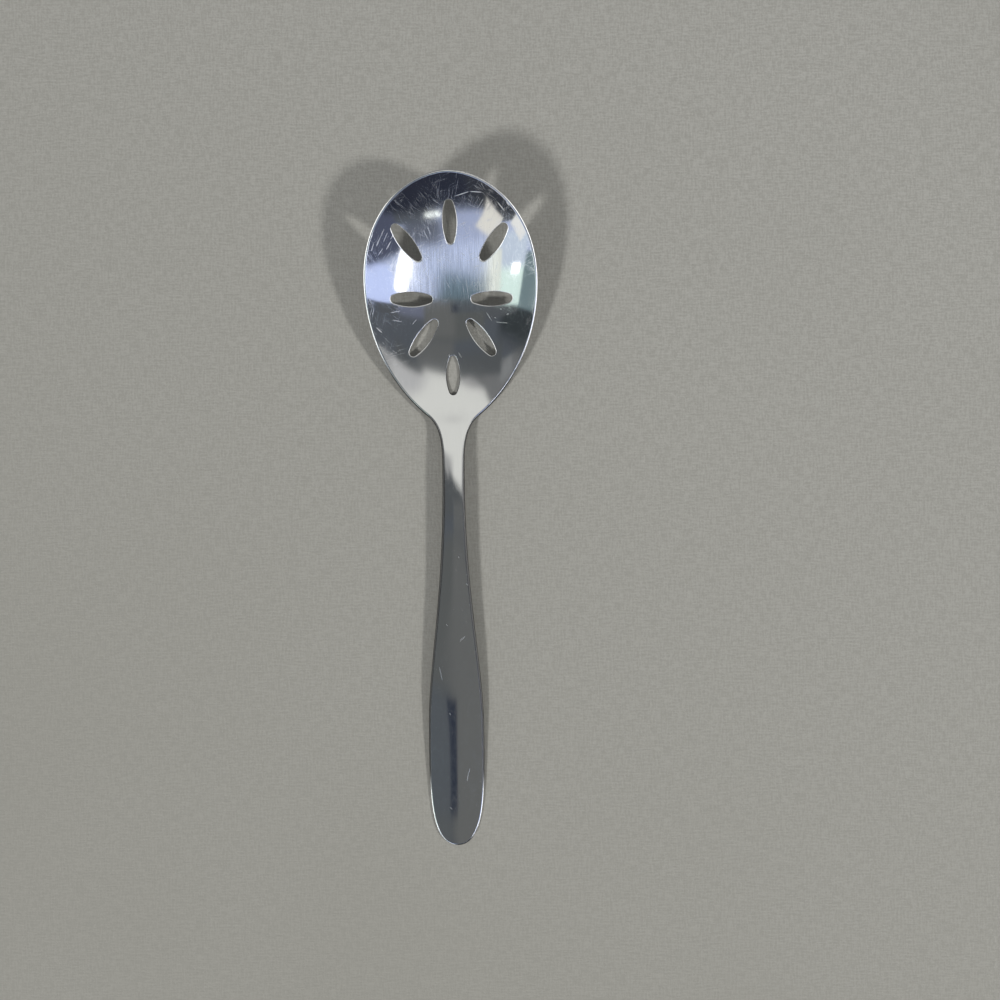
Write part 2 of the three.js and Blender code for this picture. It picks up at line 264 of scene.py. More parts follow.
def right_outline():
    """Right half of the plan outline, from the tip to the end of the handle."""
    half_bowl, half_handle = BOWL_WIDTH / 2, HANDLE_WIDTH / 2
    half_neck = NECK_WIDTH / 2
    turn = math.radians(SHOULDER_ANGLE)
    shoulder = np.array([SHOULDER_WIDTH / 2, SHOULDER_Y])
    slant = np.array([math.sin(turn), math.cos(turn)])
    curves = [
        [
            (0, TIP_Y),
            (TIP_PULL, TIP_Y),
            (half_bowl, BOWL_WIDEST_Y + BOWL_FRONT_PULL),
            (half_bowl, BOWL_WIDEST_Y),
        ],
        [
            (half_bowl, BOWL_WIDEST_Y),
            (half_bowl, BOWL_WIDEST_Y - BOWL_BACK_PULL),
            shoulder + slant * SHOULDER_OUTER_PULL,
            shoulder,
        ],
        [
            shoulder,
            shoulder - slant * SHOULDER_INNER_PULL,
            (half_neck, NECK_Y + NECK_FRONT_PULL),
            (half_neck, NECK_Y),
        ],
        [
            (half_neck, NECK_Y),
            (half_neck, NECK_Y - NECK_BACK_PULL),
            (half_handle, HANDLE_WIDEST_Y + HANDLE_FRONT_PULL),
            (half_handle, HANDLE_WIDEST_Y),
        ],
        [
            (half_handle, HANDLE_WIDEST_Y),
            (half_handle, HANDLE_WIDEST_Y - HANDLE_BACK_PULL),
            (END_PULL, END_Y),
            (0, END_Y),
        ],
    ]
    parts = [bezier(curve, steps) for curve, steps in zip(curves, STEPS_ON_OUTLINE)]
    points = np.vstack([part[0] for part in parts] + [[[0, END_Y]]])
    tangents = np.vstack([part[1] for part in parts] + [[[-1, 0]]])
    return points, np.column_stack([-tangents[:, 1], tangents[:, 0]])


def rim_loop():
    """The rim in plan, half a sheet in from the outline, with its outward directions."""
    points, outward = right_outline()
    mirror = np.array([-1, 1])
    points = np.vstack([points, points[-2:0:-1] * mirror])
    outward = np.vstack([outward, outward[-2:0:-1] * mirror])
    half = sheet_thickness(points[:, 1:]) / 2
    # Anticlockwise seen from above.
    return (points - outward * half)[::-1], outward[::-1]


def slot_shape(length, grow):
    """A slot's outline along and across itself, and the outward directions there."""
    half_width = SLOT_WIDTH / 2 + grow
    end_radius = SLOT_END_RADIUS + grow
    end_centre = length / 2 - SLOT_END_RADIUS
    spare = 2 * (half_width - end_radius)
    side_radius = end_centre ** 2 / spare + (half_width + end_radius) / 2
    side_centre = side_radius - half_width
    turn = math.atan2(side_centre, end_centre)
    arcs = [
        (end_centre, 0, end_radius, -turn, turn, STEPS_ON_SLOT_END),
        (0, -side_centre, side_radius, turn, math.pi - turn, STEPS_ON_SLOT_SIDE),
        (-end_centre, 0, end_radius, math.pi - turn, math.pi + turn, STEPS_ON_SLOT_END),
        (0, side_centre, side_radius, math.pi + turn, 2 * math.pi - turn, STEPS_ON_SLOT_SIDE),
    ]
    points, outward = [], []
    for centre_x, centre_y, radius, start, end, steps in arcs:
        angle = start + (end - start) * np.arange(steps) / steps
        direction = np.column_stack([np.cos(angle), np.sin(angle)])
        points.append(np.array([centre_x, centre_y]) + radius * direction)
        outward.append(direction)
    return np.vstack(points), np.vstack(outward)


def slot_loop(slot, grow):
    """One slot in plan, with outward directions."""
    start, length, angle = slot
    turn = math.radians(angle)
    direction = np.array([math.cos(turn), math.sin(turn)])
    sideways = np.array([-direction[1], direction[0]])
    # Plan distance from the hub against the distance along the steel.
    plan_steps = np.linspace(0, start + length + PLAN_SPARE, PLAN_STEPS)
    places = np.array([0, HUB_Y]) + plan_steps[:, None] * direction
    heights = middle(places[:, 0], places[:, 1])
    steel = np.concatenate([[0], np.cumsum(np.hypot(np.diff(plan_steps), np.diff(heights)))])
    points, outward = slot_shape(length, grow)
    plan = np.interp(start + length / 2 + points[:, 0], steel, plan_steps)
    loop = np.array([0, HUB_Y]) + plan[:, None] * direction + points[:, 1:] * sideways
    return loop, outward[:, :1] * direction + outward[:, 1:] * sideways


def mirrored(slot):
    return slot[0], slot[1], 180 - slot[2]


SLOTS = [
    FRONT_SLOT,
    UPPER_SLOT,
    mirrored(UPPER_SLOT),
    SIDE_SLOT,
    mirrored(SIDE_SLOT),
    LOWER_SLOT,
    mirrored(LOWER_SLOT),
    HEEL_SLOT,
]


def inside(points, loop):
    """Which points of the plan lie inside a closed loop."""
    within = np.zeros(len(points), bool)
    x, y = points[:, 0], points[:, 1]
    for (x0, y0), (x1, y1) in zip(loop, np.roll(loop, -1, axis=0)):
        if y0 != y1:
            crosses = (y0 > y) != (y1 > y)
            within ^= crosses & (x < (x1 - x0) * (y - y0) / (y1 - y0) + x0)
    return within


def on_steel(points, loops):
    """Which points of the plan lie inside the rim's loop and outside the slots' loops."""
    rim, *slots = loops
    within = inside(points, rim)
    for slot in slots:
        within &= ~inside(points, slot)
    return within


def face_grid(loops):
    """Evenly spaced points of the plan on the steel, a little clear of every loop."""
    row_step = GRID_STEP * math.sqrt(3) / 2
    rows = np.arange(END_Y, TIP_Y, row_step)
    columns = np.arange(-BOWL_WIDTH / 2, BOWL_WIDTH / 2, GRID_STEP)
    grid = np.array([
        (x + GRID_STEP / 2 * (i % 2), y) for i, y in enumerate(rows) for x in columns
    ])
    grid = grid[on_steel(grid, loops)]
    edges = np.vstack(loops)
    clear = np.array([
        np.min(np.sum((edges - point) ** 2, axis=1)) > GRID_CLEARANCE ** 2
        for point in grid
    ])
    return grid[clear]


def plan_triangles(loops):
    """Points of the plan and the triangles that fill the rim's loop around the slots."""
    points = np.vstack(loops + [face_grid(loops)])
    edges = []
    start = 0
    for loop in loops:
        size = len(loop)
        edges += [(start + i, start + (i + 1) % size) for i in range(size)]
        start += size
    corners = [Vector(point) for point in points]
    _, _, faces, sources, _, _ = delaunay_2d_cdt(corners, edges, [], 0, SAME_POINT)
    triangles = np.array([[sources[corner][0] for corner in face] for face in faces])
    triangles = triangles[on_steel(points[triangles].mean(axis=1), loops)]
    a, b, c = (points[triangles[:, k]] for k in range(3))
    turned = (b - a)[:, 0] * (c - a)[:, 1] - (b - a)[:, 1] * (c - a)[:, 0] < 0
    triangles[turned] = triangles[turned][:, ::-1]
    return points, triangles


class Skin:
    """Collects the points, normals and faces of one closed surface."""

    def __init__(self):
        self.points, self.normals, self.faces = [], [], []
        self.size = 0

    def add(self, points, normals):
        first = self.size
        self.points.append(points)
        self.normals.append(normals)
        self.size += len(points)
        return np.arange(first, self.size)

    def join(self, ring, other):
        """Four-sided faces from one closed ring of points to the next."""
        after, other_after = np.roll(ring, -1), np.roll(other, -1)
        self.faces += np.column_stack([ring, other, other_after, after]).tolist()

    def mesh(self, name):
        """The surface in metres, worn flat where it would go below the cloth."""
        points, normals = np.vstack(self.points) * MM, np.vstack(self.normals)
        low, high = cad_box
        normals[points[:, 2] < low[2]] = 0, 0, -1
        mesh = bpy.data.meshes.new(name)
        mesh.from_pydata(np.clip(points, low, high).tolist(), [], self.faces)
        mesh.polygons.foreach_set("use_smooth", [True] * len(mesh.polygons))
        mesh.update()
        mesh.normals_split_custom_set_from_vertices(normals.tolist())
        return mesh


def add_rim(skin, rim, outward, top, bottom):
    """The outer edge is a half round from the top face to the underside."""
    square = square_to(rim[:, 0], rim[:, 1])
    sideways = along_plan(rim, outward)
    half = sheet_thickness(rim[:, 1:]) / 2
    ring = top
    for k in range(1, STEPS_ON_RIM):
        turn = math.pi * k / STEPS_ON_RIM
        direction = math.cos(turn) * square + math.sin(turn) * sideways
        following = skin.add(in_sheet(rim, 0) + half * direction, direction)
        skin.join(ring, following)
        ring = following
    skin.join(ring, bottom)


def add_slot(skin, slot, top, bottom):
    """Each slot has a rounded edge, a straight wall and a rounded edge again."""
    turns = [math.pi / 2 * k / STEPS_ON_BREAK for k in range(1, STEPS_ON_BREAK + 1)]
    levels = [(1, turn) for turn in turns] + [(-1, turn) for turn in turns[::-1]]
    ring = top
    for side, turn in levels:
        loop, away = slot_loop(slot, EDGE_BREAK * (1 - math.sin(turn)))
        depth = EDGE_BREAK * (1 - math.cos(turn))
        half = sheet_thickness(loop[:, 1]) / 2
        square = square_to(loop[:, 0], loop[:, 1])
        normals = side * math.cos(turn) * square - math.sin(turn) * along_plan(loop, away)
        following = skin.add(in_sheet(loop, side * (half - depth)), normals)
        skin.join(following, ring)
        ring = following
    skin.join(bottom, ring)


def spoon_skin():
    """The whole spoon: both faces, then the rim and the slots that join them."""
    rim, outward = rim_loop()
    loops = [rim] + [slot_loop(slot, EDGE_BREAK)[0] for slot in SLOTS]
    plan, triangles = plan_triangles(loops)
    skin = Skin()
    top = skin.add(face_points(plan, 1), face_normals(plan, 1))
    bottom = skin.add(face_points(plan, -1), face_normals(plan, -1))
    skin.faces += top[triangles].tolist()
    skin.faces += bottom[triangles[:, ::-1]].tolist()
    first = len(rim)
    add_rim(skin, rim, outward, top[:first], bottom[:first])
    for slot, loop in zip(SLOTS, loops[1:]):
        last = first + len(loop)
        add_slot(skin, slot, top[first:last], bottom[first:last])
        first = last
    return skin


spoon = bpy.data.objects.new("spoon_steel", spoon_skin().mesh("spoon_steel"))
bpy.context.scene.collection.objects.link(spoon)


# Places of the colour sockets among the inputs and outputs of a mix node.
MIX_FIRST, MIX_SECOND, MIX_RESULT = 6, 7, 2


class Nodes:
    """Short words for making a node tree."""

    def __init__(self, tree):
        self.tree = tree
        tree.nodes.clear()

    def add(self, kind, inputs=None, **settings):
        node = self.tree.nodes.new(kind)
        for name, value in settings.items():
            setattr(node, name, value)
        for name, value in (inputs or {}).items():
            self.feed(node.inputs[name], value)
        return node

    def feed(self, socket, value):
        if isinstance(value, bpy.types.NodeSocket):
            self.tree.links.new(value, socket)
        else:
            socket.default_value = value

    def math(self, operation, *values):
        node = self.add("ShaderNodeMath", operation=operation)
        for socket, value in zip(node.inputs, values):
            self.feed(socket, value)
        return node.outputs[0]

    def fold(self, operation, values):
        """The values taken into one by the same operation, from the first to the last."""
        result = values[0]
        for value in values[1:]:
            result = self.math(operation, result, value)
        return result

    def product(self, *values):
        return self.fold("MULTIPLY", values)

    def total(self, *values):
        return self.fold("ADD", values)

    def largest(self, *values):
        return self.fold("MAXIMUM", values)

    def ramp(self, value, low, high, start=0.0, end=1.0):
        """A smooth change from start to end as the value goes from low to high."""
        inputs = {
            "Value": value,
            "From Min": low,
            "From Max": high,
            "To Min": start,
            "To Max": end,
        }
        node = self.add("ShaderNodeMapRange", inputs, interpolation_type="SMOOTHSTEP")
        return node.outputs["Result"]

    def mix(self, factor, first, second):
        node = self.add("ShaderNodeMix", {"Factor": factor}, data_type="RGBA")
        self.feed(node.inputs[MIX_FIRST], first)
        self.feed(node.inputs[MIX_SECOND], second)
        return node.outputs[MIX_RESULT]


class SurfaceNodes(Nodes):
    """Nodes of a material that changes from place to place, in sizes in millimetres."""

    def __init__(self, material):
        material.use_nodes = True
        super().__init__(material.node_tree)
        self.place = self.add("ShaderNodeTexCoord").outputs["Object"]
        split = self.add("ShaderNodeSeparateXYZ", {"Vector": self.place})
        self.x, self.y = split.outputs["X"], split.outputs["Y"]

    def rise(self, value, span, start=0.0, end=1.0):
        """A smooth change from start to end over a span, given by its two places."""
        return self.ramp(value, span[0] * MM, span[1] * MM, start, end)

    def fall(self, value, span):
        return self.rise(value, span, 1.0, 0.0)

    def frame_at(self, middle, turn, size):
        """Places in a frame that is moved to a middle, turned and stretched to a size."""
        inputs = {
            "Vector": self.place,
            "Location": (middle[0] * MM, middle[1] * MM, 0),
            "Rotation": (0, 0, turn),
            "Scale": (size[0] * MM, size[1] * MM, 1),
        }
        return self.add("ShaderNodeMapping", inputs, vector_type="TEXTURE").outputs[0]

    def grain(self, size, degrees=0, detail=1.0):
        """Noise with grains of a width and length, turned and moved by the same number."""
        inputs = {
            "Vector": self.frame_at((degrees, degrees), math.radians(degrees), size),
            "Scale": 1.0,
            "Detail": detail,
        }
        return self.add("ShaderNodeTexNoise", inputs).outputs["Fac"]

    def surface(self, relief, strength, depth, looks):
        """Closes the material. The relief's unit is a depth in millimetres."""
        bump = self.add(
            "ShaderNodeBump",
            {"Strength": strength, "Distance": depth * MM, "Height": relief},
        )
        shader = self.add(
            "ShaderNodeBsdfPrincipled", {**looks, "Normal": bump.outputs["Normal"]}
        )
        self.add("ShaderNodeOutputMaterial", {"Surface": shader.outputs[0]})


def colour(red, green, blue):
    return red, green, blue, 1.0


# Steel: tints of its plain, brushed and scratched places, and of the painted shade on its dull
# edge on both sides, a near-black tint that stands in for the dark reflection there.
PLAIN_STEEL = colour(0.59, 0.595, 0.605)
BRUSHED_STEEL = colour(0.76, 0.765, 0.775)
SCRATCHED_STEEL = colour(0.78, 0.78, 0.79)
PAINTED_SHADE_EDGE_LEFT = colour(0.05, 0.05, 0.05)
PAINTED_SHADE_EDGE_RIGHT = colour(0.08, 0.08, 0.08)

# Roughness of plain steel, and what its zones, scratches and dull edge add to that.
PLAIN_ROUGHNESS, CLOUDY_ROUGHNESS = 0.07, 0.015
BOWL_ROUGHNESS, HEEL_ROUGHNESS, HANDLE_ROUGHNESS = 0.1, 0.08, -0.01
SCRATCH_ROUGHNESS, DULL_ROUGHNESS = 0.33, 0.4

# Zones of the steel: between which two places each fades, across or along the spoon.
BOWL_MIDDLE_SIDE, BOWL_MIDDLE_BACK, BOWL_MIDDLE_FRONT = (10, 18), (65, 77), (84, 96)
HEEL_SIDE, HEEL_BACK, HEEL_FRONT = (8, 18), (20, 40), (50, 58)
HANDLE_FRONT = (10, 30)
FLANK_SIDE, RIGHT_FLANK = (11, 19), (5, 15)
UPPER_BOWL_BACK, WORN_BOWL_BACK = (62, 76), (38, 50)

# Brushing: width and length of its grains, and how strong it is in the plain places.
BRUSHED_GRAIN, STREAK_GRAIN, STREAK_LEVELS = (0.25, 7), (0.36, 8), (0.35, 0.65)
PLAIN_BRUSHING, BRUSHING_DEPTH = 0.06, 5.0
CLOUD_GRAIN, CLOUD_LEVELS = (14, 14), (0.35, 0.7)

# Sets of scratches: direction from the spoon's length, then width and length of one.
SCRATCHES = [
    (28, 0.15, 6),
    (-37, 0.15, 5),
    (64, 0.16, 5),
    (-72, 0.15, 8),
    (8, 0.14, 9),
    (-14, 0.14, 8),
    (47, 0.16, 4),
]
SCRATCH_LEVELS, PATCH_GRAIN, PATCH_LEVELS = (0.7, 0.75), (9, 12), (0.45, 0.6)
SCRATCH_SHARE, RIGHT_FLANK_SHARE, HANDLE_SHARE = 0.6, 0.45, 0.4
SCRATCH_COVER, SCRATCH_DEPTH = 0.8, 0.45

# Single scratches and nicks that stand out, from (x, y) to (x, y) in millimetres.
MARKS = [
    (-22.1, 89.4, -20.5, 92.3),
    (-23.4, 87.0, -21.7, 90.2),
    (-21.2, 88.3, -19.5, 91.5),
    (-25.0, 85.4, -24.0, 88.1),
    (-20.4, 86.4, -18.7, 89.0),
    (-23.0, 84.5, -21.3, 86.9),
    (-19.0, 89.3, -17.0, 91.9),
    (-25.5, 87.9, -24.1, 90.5),
    (-8.5, 92.6, -6.9, 89.6),
    (-7.3, 93.6, -6.0, 91.1),
    (1.9, 101.3, 6.6, 102.4),
    (6.6, 102.4, 10.6, 102.0),
    (15.2, 99.4, 17.5, 96.8),
    (18.0, 99.2, 19.0, 97.9),
    (14.2, 64.7, 18.4, 64.1),
    (11.2, 68.0, 13.1, 65.1),
    (15.8, 68.8, 16.4, 68.5),
    (13.9, 66.2, 14.5, 65.8),
    (17.9, 66.8, 18.7, 67.1),
    (-19.6, 65.4, -16.1, 64.9),
    (-20.1, 67.6, -16.6, 68.4),
    (-13.2, 64.1, -11.6, 66.0),
    (-24.6, 62.7, -22.6, 61.1),
    (1.8, 55.3, 3.0, 53.4),
    (-1.5, 54.1, -1.1, 54.7),
    (1.3, -12.2, 1.7, -12.8),
    (3.7, -21.0, 4.5, -21.8),
    (-5.5, -48.1, -4.3, -53.5),
    (1.3, -40.3, 3.5, -38.2),
    (-2.2, -63.8, -1.8, -64.7),
    (3.9, -83.4, 3.3, -87.1),
    (4.3, -82.4, 4.0, -84.1),
    (-2.5, -95.4, -1.7, -96.3),
    (6.5, -43.4, 6.9, -44.1),
    (-3.0, -34.4, -2.5, -35.0),
]

# A mark's half width, its half length as a share of its length, and how far in it is full.
MARK_HALF_WIDTH, MARK_LENGTH_SHARE, MARK_FADE = 0.14, 0.6, 0.5

# Dull edge and its painted shade: they fade between two slopes of the steel (1 is level) on
# the handle and on the bowl, a little sooner on the right of the bowl, and they run between
# two places.
DULL_AND_SHADE_ON_HANDLE, DULL_AND_SHADE_ON_BOWL = (0.965, 0.99), (0.86, 0.935)
RIGHT_SIDE, RIGHT_BOWL_BACK, RIGHT_BOWL_LESS = (-1, 1), (-15, 5), 0.05
DULL_AND_SHADE_BACK, DULL_AND_SHADE_FRONT = (-95, -83), (46, 58)

# One more patch with the same roughness and painted shade is on the very end of the handle, a
# little right of the middle.
END_PATCH_LEVEL, END_PATCH_FRONT = (0.985, 0.998), (-106.5, -104)
END_PATCH_LEFT, END_PATCH_RIGHT = (-1.5, 0.5), (4.5, 6.5)

# Strength of the relief of brushing and scratches, and the height of one step of it.
STEEL_BUMP, STEEL_RELIEF = 1.0, 0.001


def fine_scratches(n, from_middle, handle):
    """Fine scratches in several directions. Each set has its own patches."""
    scratches = 0.0
    for degrees, width, length in SCRATCHES:
        lines = n.ramp(n.grain((width, length), degrees, detail=0.0), *SCRATCH_LEVELS)
        patches = n.ramp(n.grain(PATCH_GRAIN, degrees), *PATCH_LEVELS)
        scratches = n.largest(n.product(lines, patches), scratches)
    flanks = n.product(
        n.rise(from_middle, FLANK_SIDE), n.rise(n.x, RIGHT_FLANK, 1.0, RIGHT_FLANK_SHARE)
    )
    upper_bowl = n.rise(n.y, UPPER_BOWL_BACK)
    worn_bowl = n.product(n.largest(flanks, upper_bowl), n.rise(n.y, WORN_BOWL_BACK))
    worn = n.largest(worn_bowl, n.product(handle, HANDLE_SHARE))
    return n.product(scratches, worn, SCRATCH_SHARE)


def single_mark(n, x0, y0, x1, y1):
    """A long thin spot that fades towards its ends."""
    middle_of_mark = ((x0 + x1) / 2, (y0 + y1) / 2)
    turn = math.atan2(y1 - y0, x1 - x0)
    size = (math.hypot(x1 - x0, y1 - y0) * MARK_LENGTH_SHARE, MARK_HALF_WIDTH)
    spot = n.frame_at(middle_of_mark, turn, size)
    fade = n.add("ShaderNodeTexGradient", {"Vector": spot}, gradient_type="SPHERICAL")
    return n.ramp(fade.outputs["Fac"], 0.0, MARK_FADE)


def dull_and_shaded_edge(n, right_side):
    """Mask of the dull edge that the blanking left on the long sides, which also carries
    painted shade.
    """
    normal = n.add("ShaderNodeNewGeometry").outputs["Normal"]
    upward = n.add("ShaderNodeSeparateXYZ", {"Vector": normal}).outputs["Z"]
    less = n.product(right_side, n.rise(n.y, RIGHT_BOWL_BACK), RIGHT_BOWL_LESS)
    level = n.total(n.math("ABSOLUTE", upward), less)
    ends = zip(DULL_AND_SHADE_ON_HANDLE, DULL_AND_SHADE_ON_BOWL)
    full, none = [n.rise(n.y, HANDLE_FRONT, *pair) for pair in ends]
    edge = n.ramp(level, full, none, 1.0, 0.0)
    long_sides = n.product(n.rise(n.y, DULL_AND_SHADE_BACK), n.fall(n.y, DULL_AND_SHADE_FRONT))
    end_patch = n.product(
        n.ramp(level, *END_PATCH_LEVEL, 1.0, 0.0),
        n.fall(n.y, END_PATCH_FRONT),
        n.rise(n.x, END_PATCH_LEFT),
        n.fall(n.x, END_PATCH_RIGHT),
    )
    return n.largest(n.product(edge, long_sides), end_patch)


def steel_material():
    """Polished stainless steel: brushed along its length, with scratches from use."""
    material = bpy.data.materials.new("stainless_steel")
    n = SurfaceNodes(material)

    # The middle of the bowl is brushed most, the flanks are polished most.
    from_middle = n.math("ABSOLUTE", n.x)
    bowl_middle = n.product(
        n.fall(from_middle, BOWL_MIDDLE_SIDE),
        n.rise(n.y, BOWL_MIDDLE_BACK),
        n.fall(n.y, BOWL_MIDDLE_FRONT),
    )
    heel = n.product(
        n.fall(from_middle, HEEL_SIDE), n.rise(n.y, HEEL_BACK), n.fall(n.y, HEEL_FRONT)
    )
    handle = n.fall(n.y, HANDLE_FRONT)
    right_side = n.rise(n.x, RIGHT_SIDE)
    scratches = fine_scratches(n, from_middle, handle)
    for mark in MARKS:
        scratches = n.largest(single_mark(n, *mark), scratches)
    dull_and_shaded = dull_and_shaded_edge(n, right_side)

    clouds = n.grain(CLOUD_GRAIN, detail=3.0)
    roughness = n.total(
        n.product(bowl_middle, BOWL_ROUGHNESS),
        n.product(handle, HANDLE_ROUGHNESS),
        n.product(heel, HEEL_ROUGHNESS),
        PLAIN_ROUGHNESS,
        n.ramp(clouds, *CLOUD_LEVELS, -CLOUDY_ROUGHNESS, CLOUDY_ROUGHNESS),
        n.product(scratches, SCRATCH_ROUGHNESS),
        n.product(dull_and_shaded, DULL_ROUGHNESS),
    )

    brushing = n.ramp(bowl_middle, 0.0, 1.0, PLAIN_BRUSHING, 1.0)
    streaks = n.ramp(n.grain(STREAK_GRAIN, detail=2.0), *STREAK_LEVELS)
    tint = n.mix(n.product(streaks, brushing), PLAIN_STEEL, BRUSHED_STEEL)
    tint = n.mix(n.product(scratches, SCRATCH_COVER), tint, SCRATCHED_STEEL)
    # Painted shade: the dull edge is darkened to a near-black tint for its dark reflection,
    # darker on the left.
    painted_shade_tint = n.mix(right_side, PAINTED_SHADE_EDGE_LEFT, PAINTED_SHADE_EDGE_RIGHT)
    tint = n.mix(dull_and_shaded, tint, painted_shade_tint)

    brushed = n.product(n.grain(BRUSHED_GRAIN, detail=2.0), brushing, BRUSHING_DEPTH)
    relief = n.math("SUBTRACT", brushed, n.product(scratches, SCRATCH_DEPTH))
    looks = {"Base Color": tint, "Metallic": 1.0, "Roughness": roughness}
    n.surface(relief, STEEL_BUMP, STEEL_RELIEF, looks)
    return material


spoon.data.materials.append(steel_material())
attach(spoon, "root")
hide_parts("pierced_spoon")


# The cloth that the spoon lies on: a fine plain weave, faintly clouded.
CLOTH_SIZE = 4000
THREAD = 0.5
SLUB_LENGTH, SLUB_WIDTH, SPECKLE, CLOUD = 4, 0.6, 0.7, 110
SLUB_LEVELS, CROSSING_SHARE = (0.3, 0.7), 0.3
WEAVE_LEVELS, SHADE_SHARE, CLOUD_SHARE = (0.3, 2.7), 0.6, 0.3
CLOTH_BUMP, CLOTH_RELIEF = 0.3, 0.1
CLOTH_ROUGHNESS, CLOTH_SHINE = 0.95, 0.2
# Near and far cloth colours carry painted light: darker near the camera, paler far from it.
NEAR_CLOTH, FAR_CLOTH = colour(0.31, 0.306, 0.28), colour(0.395, 0.392, 0.37)
CLOUDED_CLOTH, SHADED_CLOTH = colour(0.36, 0.357, 0.335), colour(0.27, 0.268, 0.245)

# The cloth's colour is painted paler towards the back and, by a share of that, towards the
# right:
# a painted fall-off of the light across it.
PAINTED_LIGHT_RIGHT, PAINTED_LIGHT_SPAN = 0.6, (-250, 250)


def cloth_material():
    material = bpy.data.materials.new("pale_cloth")
    n = SurfaceNodes(material)
    turns = 2 * math.pi / (THREAD * MM)
    warp = n.math("SINE", n.product(n.x, turns))
    weft = n.math("SINE", n.product(n.y, turns))

    def slubs(size_x, size_y):
        return n.ramp(n.grain((size_x, size_y)), *SLUB_LEVELS)

    # Thicker and thinner places run along the threads in both directions.
    threads = n.total(
        slubs(SLUB_LENGTH, SLUB_WIDTH), slubs(SLUB_WIDTH, SLUB_LENGTH), slubs(SPECKLE, SPECKLE)
    )
    weave = n.total(n.product(warp, weft, CROSSING_SHARE), threads)
    # Painted light: the cloth's colour grows paler towards the back and the right.
    painted_light_falloff = n.total(n.product(n.x, PAINTED_LIGHT_RIGHT), n.y)
    cloth_with_painted_light = n.mix(n.rise(painted_light_falloff, PAINTED_LIGHT_SPAN), NEAR_CLOTH, FAR_CLOTH)
    cloth_with_painted_light = n.mix(n.product(slubs(CLOUD, CLOUD), CLOUD_SHARE), cloth_with_painted_light, CLOUDED_CLOTH)
    shade = n.mix(n.ramp(weave, *WEAVE_LEVELS, 0.0, SHADE_SHARE), cloth_with_painted_light, SHADED_CLOTH)
    looks = {
        "Base Color": shade,
        "Roughness": CLOTH_ROUGHNESS,
        "Specular IOR Level": CLOTH_SHINE,
    }
    n.surface(weave, CLOTH_BUMP, CLOTH_RELIEF, looks)
    return material


def make_cloth():
    half = CLOTH_SIZE * MM / 2
    corners = [(-half, -half, 0), (half, -half, 0), (half, half, 0), (-half, half, 0)]
    mesh = bpy.data.meshes.new("cloth")
    mesh.from_pydata(corners, [], [(0, 1, 2, 3)])
    mesh.materials.append(cloth_material())
    cloth = bpy.data.objects.new("cloth", mesh)
    bpy.context.scene.collection.objects.link(cloth)


make_cloth()


